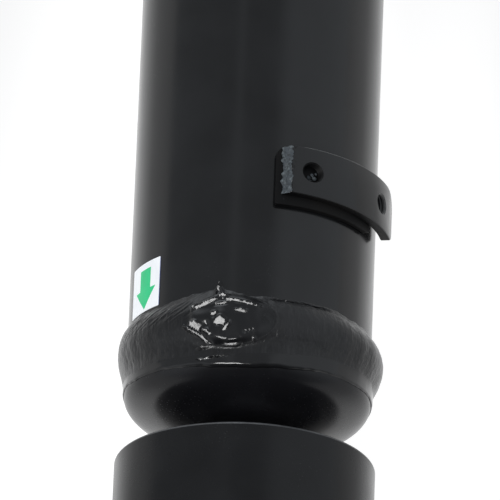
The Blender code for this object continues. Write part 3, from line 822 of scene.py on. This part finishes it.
def slice_plate(bm, axis, places, end=inf):
    """Cuts a plate's faces up to x = end at these places along an axis."""
    normal = Vector([float(axis == name) for name in "xyz"])
    for place_along in places:
        faces = [face for face in bm.faces if face.calc_center_median().x < end]
        edges = dict.fromkeys(edge for face in faces for edge in face.edges)
        verts = dict.fromkeys(vert for face in faces for vert in face.verts)
        geom = [*verts, *edges, *faces]
        bmesh.ops.bisect_plane(bm, geom=geom, dist=1e-5, plane_co=normal * place_along, plane_no=normal)


def bend(bm, radius, start, fall=0.0):
    """Wraps a flat plate round the barrel: x runs round it at this radius, and z stands outwards."""
    for vert in bm.verts:
        turned_by = degrees(vert.co.x / radius)
        vert.co = around(radius + vert.co.z, vert.co.y - fall * turned_by, start + turned_by)


def threaded_hole(x, y, thick):
    """A cutter for a tapped hole through a flat plate."""
    profile = [(0.0, -1.0), (THREAD_ROOT, -1.0), (THREAD_ROOT, 0.2)]
    height = 0.6
    while height < thick - 1.0:
        profile += [(THREAD_CREST, height), (THREAD_CREST + 0.1, height + 0.2),
                    (THREAD_ROOT, height + THREAD_PITCH / 2)]
        height += THREAD_PITCH
    profile += [(THREAD_CREST, thick - 0.7), (THREAD_ROOT, thick - 0.1), (THREAD_ROOT, thick + 1.0),
                (0.0, thick + 1.0)]
    bm = turned(profile, SMALL_TURN)
    upright = Matrix.Translation((x, y, 0)) @ Matrix.Rotation(radians(90), 4, "X")
    bmesh.ops.transform(bm, verts=bm.verts, matrix=upright)
    return bm


def reload(obj):
    """A piece's mesh as a bmesh in millimetres."""
    bm = bmesh.new()
    bm.from_mesh(obj.data)
    bmesh.ops.scale(bm, vec=(1 / MM, 1 / MM, 1 / MM), verts=bm.verts)
    return bm


def settle(obj, bm):
    """Puts a bmesh in millimetres back as a piece's mesh."""
    bmesh.ops.scale(bm, vec=(MM, MM, MM), verts=bm.verts)
    bm.to_mesh(obj.data)
    bm.free()
    shade(obj.data)


def make_bracket():
    """The bent clamp plate: two tapped holes, one torch-cut rough end and one rounded end."""
    inner = BRACKET_R - BRACKET_THICK
    first, last = BRACKET_AZIMUTHS
    length = radians(last - first) * inner
    low, high = BRACKET_Y
    hole_y = (low + high) / 2
    bm = plate(rounded_sheet(length, low, high, BRACKET_CORNERS), BRACKET_THICK, 0.6)
    looks = [ENAMEL, CUT_STEEL, PAINTED_SHADE_ENAMEL, PAINTED_HIGHLIGHT_EDGE, THREAD_STEEL]
    piece = make_piece("clamp_plate", bm, looks, ["clamp_bracket"])
    holes = [radians(azimuth - first) * inner for azimuth in BRACKET_HOLES]
    for x in holes:
        carve(piece, threaded_hole(x, hole_y, BRACKET_THICK))
    bm = reload(piece)
    slice_plate(bm, "x", steps(0, length, BEND_STEP))
    roughen_end(bm, low, high)
    for face in bm.faces:
        middle = face.calc_center_median()
        # Painted shade: the plate's underside takes the dull shade copy of the enamel.
        if face.normal.y < -0.9:
            face.material_index = looks.index(PAINTED_SHADE_ENAMEL)
        # A painted highlight on the plate's upper outer edge, where it faces up and towards the head end.
        if face.normal.y > 0.3 and face.normal.z > 0.3 and middle.x > 6:
            face.material_index = looks.index(PAINTED_HIGHLIGHT_EDGE)
        # Painted shade on the first hole's walls; the second hole's walls take the thread steel.
        for x, look in zip(holes, (PAINTED_SHADE_ENAMEL, THREAD_STEEL)):
            if hypot(middle.x - x, middle.y - hole_y) < THREAD_ROOT and abs(face.normal.z) < 0.95:
                face.material_index = looks.index(look)
    bend(bm, inner, first, BRACKET_FALL)
    settle(piece, bm)


def roughen_end(bm, low, high):
    """Leans the plate's first end back and breaks it up, as a cutting torch leaves it."""
    slice_plate(bm, "x", [0.35 * step for step in range(1, 14)], BRACKET_ROUGH_END)
    slice_plate(bm, "y", steps(low, high, 0.5), BRACKET_ROUGH_END)
    slice_plate(bm, "z", steps(0, BRACKET_THICK, 0.5), BRACKET_ROUGH_END)
    for vert in bm.verts:
        if vert.co.x < BRACKET_ROUGH_END:
            fade = 1 - smooth(vert.co.x, 0.0, 3.0)
            rough = 0.9 * noise(vert.co / 1.7) + 0.5 * noise(vert.co / 0.8)
            edge = 0.9 * noise(Vector((0, vert.co.y, 4)) / 3.0)
            lean = BRACKET_SLANT * (1 - vert.co.z / BRACKET_THICK)
            vert.co.x += (rough + edge - lean) * fade
            vert.co.z -= 0.35 * abs(rough) * fade * smooth(vert.co.z, 3.0, BRACKET_THICK)
    bm.normal_update()
    for face in bm.faces:
        middle = face.calc_center_median()
        ragged = 0.7 * noise(middle / 1.4) + 0.5 * noise(middle / 3.1)
        if middle.x < 0.3 + ragged:
            face.material_index = 1


def make_spacer():
    """The thinner strip between the clamp plate and the barrel, in painted shade: the dull copy of the enamel.
    """
    first, last = SPACER_AZIMUTHS
    inner = BARREL_R + 0.05
    thick = BRACKET_R - BRACKET_THICK - inner
    length = radians(last - first) * inner
    bm = plate(rounded_sheet(length, *span("bracket_spacer"), (1.5, 2.0, 2.0, 5.0)), thick, 0.4)
    slice_plate(bm, "x", steps(0, length, BEND_STEP))
    bend(bm, inner, first)
    make_piece("clamp_spacer_strip", bm, [PAINTED_SHADE_ENAMEL], ["bracket_spacer"])


def make_spatter():
    """Beads of weld spatter by the clamp plate's rough end, and chips left in its first hole."""
    for name, spots, look in (("clamp_spatter", SPATTER, LUMP_ENAMEL), ("clamp_chips", CHIPS, CUT_STEEL)):
        bm = bmesh.new()
        for azimuth, y, radius in spots:
            spot = Matrix.Translation(around(BARREL_R + 2.6, y, azimuth))
            bmesh.ops.create_icosphere(bm, subdivisions=3, radius=radius, matrix=spot)
        make_piece(name, bm, [look])


LABEL_AZIMUTHS = (-74.0, -48.5)
LABEL_Y = (141.2, 167.4)
LABEL_THICK = 0.18
LABEL_EDGE = 0.35  # the bluish strip along its right side
FILM_LIFT = 0.05
FILM_STEP = 0.8
ARROW = ((-4.9, 10.9), (4.9, 10.9), (4.9, 0.0), (9.3, 0.0), (0.0, -10.6), (-9.3, 0.0), (-4.9, 0.0))
ARROW_AZIMUTH = -60.3
ARROW_Y = 153.0


def surface_under(azimuth, y):
    """The radius that a label lies on: the barrel's, or the bead's shoulder."""
    below = max(0.0, bead_edges(azimuth)[1] - y)
    return BARREL_R + min(2.0, 1.1 * below ** 0.8)


def lay_film(bm, start, lift):
    """Wraps a flat film round the barrel, so that it follows what it lies on."""
    for vert in bm.verts:
        azimuth = start + degrees(vert.co.x / BARREL_R)
        vert.co = around(surface_under(azimuth, vert.co.y) + lift + vert.co.z, vert.co.y, azimuth)


def make_label():
    """A white film on the barrel with a green arrow printed on it, and nothing else."""
    first, last = LABEL_AZIMUTHS
    low, high = LABEL_Y
    length = radians(last - first) * BARREL_R
    bm = plate(rounded_sheet(length, low, high, (0.8, 0.8, 0.8, 0.8)), LABEL_THICK, 0.05)
    slice_plate(bm, "x", steps(0, length, FILM_STEP) + [length - LABEL_EDGE])
    slice_plate(bm, "y", steps(low, high, FILM_STEP))
    for face in bm.faces:
        face.material_index = int(face.calc_center_median().x > length - LABEL_EDGE)
    lay_film(bm, first, FILM_LIFT)
    make_piece("label_film", bm, [FILM, FILM_EDGE], ["arrow_label"])
    middle = radians(ARROW_AZIMUTH - first) * BARREL_R
    arrow = plate([(middle + x, ARROW_Y + y) for x, y in reversed(ARROW)], 0.05, 0.01)
    slice_plate(arrow, "x", [middle + FILM_STEP * step for step in range(-12, 13)])
    slice_plate(arrow, "y", [ARROW_Y + FILM_STEP * step for step in range(-13, 14)])
    lay_film(arrow, first, FILM_LIFT + LABEL_THICK)
    make_piece("label_arrow_print", arrow, [GREEN_PRINT])


# --- port


PORT_AZIMUTH = 45.0
PORT_Y = 560.0
PORT_FACE_R = 77.0
PORT_BOSS_R = 22.0
PORT_HOLE_R = 12.3
PORT_WELD_LEG = 4.5
PLUG_SOCKET_R = 7.9


def make_port():
    """The welded port boss with a fillet all round it, and its socket plug."""
    floor = BARREL_R - 4
    face, hole, outer = PORT_FACE_R, PORT_HOLE_R, PORT_BOSS_R
    rings = eased([(hole, floor), (outer, floor), (outer, face - 1.5), (outer - 1.5, face),
                   (hole + 1.2, face), (hole, face - 1.2)], 0.4)
    bm = stud(rings + rings[:1], PORT_Y, PORT_AZIMUTH, 96)
    boss = make_piece("inlet_boss", bm, [ENAMEL], ["inlet_port_boss"])
    below, above = PORT_Y - PORT_BOSS_R - 5, PORT_Y + PORT_BOSS_R + 5
    carve(boss, turned([(0, below), (BARREL_R, below), (BARREL_R, above), (0, above)]))
    make_port_weld()
    low, high = face - 12, face - 1
    plug_r = hole - GAP
    plug = [(0, low), (plug_r, low), (plug_r, high - 1), (plug_r - 1, high), (PLUG_SOCKET_R + 0.5, high),
            (PLUG_SOCKET_R, high - 0.6, True), (PLUG_SOCKET_R, high - 7, True), (0, high - 8.5)]
    bm = stud(plug, PORT_Y, PORT_AZIMUTH)
    make_piece("inlet_plug", bm, [ZINC], ["inlet_port_plug"])


def make_port_weld():
    """A rippled fillet weld where the boss meets the round barrel."""
    root, toe = PORT_BOSS_R - 0.5, PORT_BOSS_R + PORT_WELD_LEG
    outward = Matrix.Rotation(radians(PORT_AZIMUTH), 4, "Y")
    rows = []
    for step in range(360):
        cosine, sine = cos(radians(step)), sin(radians(step))
        ripple = 0.16 * sin(step * 1.1) + 0.25 * noise(Vector((cosine * 3, sine * 3, 0)))
        section = []
        for turn in spread(0.0, pi / 2, 9):
            swell = (0.5 + ripple) * sin(2 * turn)
            out = PORT_BOSS_R + PORT_WELD_LEG * (1 - sin(turn)) + swell
            up = PORT_WELD_LEG * (1 - cos(turn)) + swell
            section.append((out, sqrt(BARREL_R ** 2 - (out * cosine) ** 2) + up))
        section.append((root, section[-1][1]))
        for out, sunk in ((root, 1.0), (toe, 0.6)):
            section.append((out, sqrt(BARREL_R ** 2 - (out * cosine) ** 2) - sunk))
        rows.append([outward @ Vector((out * cosine, out * sine, up)) + Vector((0, PORT_Y, 0))
                     for out, up in section])
    bm = bmesh.new()
    skin(bm, rows, True, True)
    make_piece("inlet_fillet_weld", bm, [BEAD_ENAMEL])


# --- heads, stages and rings


SIDE_AZIMUTH = -90.0
SPLIT = (TURN, 15.0, 345.0)  # a ring cut through: its sides, where it starts, and how far it goes
SNAP = (TURN, 15.0, 330.0)
SCREW_R = 2.9
SCREW_HOLE_R = 3.3


def make_heads():
    """The three glands, with their grub screws and pin spanner holes."""
    for owner in ("barrel", "stage_1", "stage_2"):
        head = fine(owner + "_head", ENAMEL, "black_paint", 0.8)
        radius, _, high = size_of(owner + "_head")
        outer, inner = (-place for place in span(owner + "_lock_screw", "x"))
        y = sum(span(owner + "_lock_screw")) / 2
        hole = [(0, inner - GAP), (SCREW_HOLE_R, inner - GAP), (SCREW_HOLE_R, radius - 0.8),
                (4.4, radius + 0.3), (4.4, radius + 2), (0, radius + 2)]
        carve(head, stud(hole, y, SIDE_AZIMUTH))
        for step in range(4):
            pin = [(0, radius - 4.5), (3.6, radius - 3.5), (3.6, radius - 0.4), (4.2, radius + 0.2),
                   (4.2, radius + 2), (0, radius + 2)]
            carve(head, stud(pin, high - 16, 90 * step))
        grub = [(0, inner), (SCREW_R, inner), (SCREW_R, outer - 0.4), (2.5, outer), (1.75, outer, True),
                (1.75, outer - 2.4, True), (0, outer - 3.0)]
        bm = stud(grub, y, SIDE_AZIMUTH)
        make_piece(owner + "_grub_screw", bm, [ZINC], [owner + "_lock_screw"], owner)
        fine(owner + "_guide_ring", NYLON, "guide_nylon", 0.3, *SPLIT)
        fine(owner + "_seal", RUBBER, "seal_rubber", 0.5)
        fine(owner + "_wiper", RUBBER, "seal_rubber", 0.4)


def make_stages():
    """The chromed tubes with their bearings and stop rings."""
    for stage in ("stage_1", "stage_2", "plunger"):
        fine(stage + "_tube", CHROME, "stage_chrome", 0.5)
        fine(stage + "_bearing", BRONZE, "bearing_bronze", 0.4, *SPLIT)
        fine(stage + "_stop_ring", STEEL, "bright_steel", 0.4, *SPLIT)


# --- ball joints


def make_ball_joints():
    """Both ends: ball, floating liner, cup, keeper, snap ring and grease nipple."""
    paint_neck(fine("base_ball_pin", STEEL, "bright_steel", 0.5))
    cap = fine("plunger_end_cap", STEEL, "bright_steel", 0.6)
    make_bleed_screw(cap)
    for end in ("base", "top"):
        fine(end + "_ball_liner", BRONZE, "bearing_bronze", 0.4)
        fine(end + "_keeper_ring", CUP_ENAMEL, "black_paint", 0.5)
        fine(end + "_snap_ring", CUP_ENAMEL, "black_paint", 0.4, *SNAP)
        cup = fine(end + "_cup", CUP_ENAMEL, "black_paint", 1.6)
        paint_rim_highlights(cup)
        make_nipple(end, cup)


def paint_rim_highlights(cup):
    """Paints highlights in a lighter paint on the rounded edges of a cup's outside."""
    cup.data.materials.append(PAINTED_HIGHLIGHT_RIM)
    for polygon in cup.data.polygons:
        outwards = polygon.normal.dot(Vector((polygon.center.x, 0, polygon.center.z)).normalized())
        if outwards > 0.2 and abs(polygon.normal.y) > 0.2:
            polygon.material_index = 1


def paint_neck(pin):
    """Paints the base pin black where it stands out of its cup, with painted shade: the dull copy of the
    enamel.
    """
    cup_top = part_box("base_cup")[1].y
    pin.data.materials.append(PAINTED_SHADE_ENAMEL)
    for polygon in pin.data.polygons:
        if polygon.center.y > cup_top:
            polygon.material_index = 1


def make_bleed_screw(cap):
    """The hexagon-headed bleed screw in the plunger's cap, and the hole that it sits in."""
    y = sum(span("bleed_screw")) / 2
    top, floor = (-place for place in span("bleed_screw", "z"))
    seat = size_of("plunger_end_cap")[0]
    hole = [(0, floor - GAP), (SCREW_HOLE_R, floor - GAP), (SCREW_HOLE_R, seat + 5), (0, seat + 5)]
    carve(cap, stud(hole, y, 180))
    screw = [(0, floor), (SCREW_R, floor), (SCREW_R, seat + 0.3), (4.2, seat + 0.3, True),
             (4.2, top - 0.5, True), (3.5, top), (0, top)]
    make_piece("bleed_screw_hex", stud(screw, y, 180), [ZINC], ["bleed_screw"], "plunger")


def make_nipple(end, cup):
    """The grease nipple in its spot face: hexagon, neck and ball end."""
    y = sum(span(end + "_grease_nipple")) / 2
    radius = size_of(end + "_cup")[0]
    base = radius - 20
    drill = [(0, base), (SCREW_HOLE_R, base), (SCREW_HOLE_R, radius - 7), (8.5, radius - 7),
             (8.5, radius - 0.6), (9.4, radius + 0.4), (9.4, radius + 3), (0, radius + 3)]
    carve(cup, stud(drill, y, SIDE_AZIMUTH))
    profile = [(0, 0.5), (2.8, 0.5), (2.8, 13.3), (5.6, 13.3, True), (5.6, 16.6, True), (4.9, 17),
               (2.9, 17.2), (2.3, 18), (2.3, 19), (3, 19.7), (3.3, 20.5), (3, 21.4), (2.2, 22.2), (1.3, 22.6),
               (0.8, 22.6), (0, 22.2)]
    raised = [(reach, base + height, *six_sided) for reach, height, *six_sided in profile]
    bm = stud(raised, y, SIDE_AZIMUTH)
    make_piece(end + "_nipple_fine", bm, [ZINC], [end + "_grease_nipple"], end + "_cup")


# --- stage, light and camera


CAMERA_ELEVATION = 68.0
CAMERA_ROLL = 2.30
CAMERA_DISTANCE = 4.793
CAMERA_LENS = 696.9
CAMERA_TARGET = (-0.00169, 0.1644, 0.0605)
FLOOR_HALF = 30.0
FLOOR_STRETCH = (1.0, 0.28, 0.0)
# The floor's painted glow: its strength falls from the first to the second value between these distances from
# the middle.
FLOOR_POOL = (0.115, 0.25)
FLOOR_GLOW = (0.94, 0.42)
PANEL_SIZE = (1.1, 0.42)
PANEL_POWER = 30.0
PANEL_TOWARDS = (-0.315, -0.413, 0.846)
PANEL_DISTANCE = 2.5


def make_camera():
    """A long lens above the base end, with the head end towards the top of the frame."""
    camera = add_object("camera", bpy.data.cameras.new("camera"))
    camera.data.lens = CAMERA_LENS
    camera.data.clip_end = 100.0
    elevation = radians(CAMERA_ELEVATION)
    back = Vector((0, -cos(elevation), sin(elevation)))
    upright = Vector((0, sin(elevation), cos(elevation)))
    rightward = Vector((1, 0, 0))
    roll = radians(CAMERA_ROLL)
    right = rightward * cos(roll) + upright * sin(roll)
    up = upright * cos(roll) - rightward * sin(roll)
    camera.rotation_mode = "QUATERNION"
    camera.rotation_quaternion = Matrix((right, up, back)).transposed().to_quaternion()
    camera.location = Vector(CAMERA_TARGET) + back * CAMERA_DISTANCE
    bpy.context.scene.camera = camera


def make_floor():
    """A plain pale table top that glows: painted light, brightest in a pool under the cylinder and dimmer
    further out, which keeps it white round the cylinder and its shadow faint.
    """
    mesh = bpy.data.meshes.new("floor")
    low = cad_low.z
    corners = [(FLOOR_HALF * x, FLOOR_HALF * y, low) for x, y in ((-1, -1), (1, -1), (1, 1), (-1, 1))]
    mesh.from_pydata(corners, [], [(0, 1, 2, 3)])
    look, tree, shader = new_look("pale_floor", 0.9)
    length = add_node(tree, "VectorMath", {0: place(tree, FLOOR_STRETCH)}, operation="LENGTH")
    glow = remap(tree, length.outputs["Value"], *FLOOR_POOL, *FLOOR_GLOW)
    grey, white = (0.25, 0.25, 0.25, 1.0), (1.0, 1.0, 1.0, 1.0)
    feed(tree, shader, {"Base Color": grey, "Emission Color": white, "Emission Strength": glow})
    mesh.materials.append(look)
    floor = add_object("floor", mesh)


def make_world():
    """A dim room, darker towards the base end, with a streak on the left and a glow past the head end."""
    world = bpy.data.worlds.new("room")
    bpy.context.scene.world = world
    world.use_nodes = True
    tree = world.node_tree
    split = add_node(tree, "SeparateXYZ", {0: add_node(tree, "TexCoord", {}).outputs["Generated"]})
    across, along = split.outputs["X"], split.outputs["Y"]
    from_streak = maths(tree, "ABSOLUTE", maths(tree, "ADD", across, 0.29), 0.0)
    streak = remap(tree, from_streak, 0.0, 0.09, 0.20, 0.0)
    sideways = maths(tree, "ADD", remap(tree, across, 0.24, 0.42, 0.40, 0.68), streak)
    far_side = maths(tree, "ADD", remap(tree, across, 0.50, 0.80, 0.0, 0.18),
                     remap(tree, across, -0.80, -0.50, 0.45, 0.0))
    low_sides = maths(tree, "MULTIPLY", far_side, remap(tree, along, -0.25, 0.05, 1.0, 0.0))
    back_glow = maths(tree, "MULTIPLY", remap(tree, along, 0.60, 0.85, 0.0, 1.5),
                      remap(tree, across, -0.05, 0.15, 1.0, 0.0))
    sideways = maths(tree, "ADD", sideways, back_glow)
    lit = maths(tree, "MULTIPLY", sideways, remap(tree, along, -0.75, -0.10, 0.15, 1.0))
    strength = maths(tree, "ADD", lit, low_sides)
    feed(tree, tree.nodes["Background"], {"Color": (0.90, 0.95, 1.0, 1.0), "Strength": strength})


def make_light():
    """One soft panel above the base end, a little to the left."""
    panel = add_object("panel", bpy.data.lights.new("panel", "AREA"))
    panel.data.shape = "RECTANGLE"
    panel.data.size, panel.data.size_y = PANEL_SIZE
    panel.data.energy = PANEL_POWER
    towards = Vector(PANEL_TOWARDS).normalized()
    panel.location = Vector(CAMERA_TARGET) + towards * PANEL_DISTANCE
    panel.rotation_mode = "QUATERNION"
    panel.rotation_quaternion = towards.to_track_quat("Z", "Y")


make_camera()
make_floor()
make_world()
make_light()
make_barrel()
make_base_cap()
make_weld_bead()
make_bracket()
make_spacer()
make_spatter()
make_label()
make_port()
make_heads()
make_stages()
make_ball_joints()
bpy.context.scene.view_settings.view_transform = "Standard"
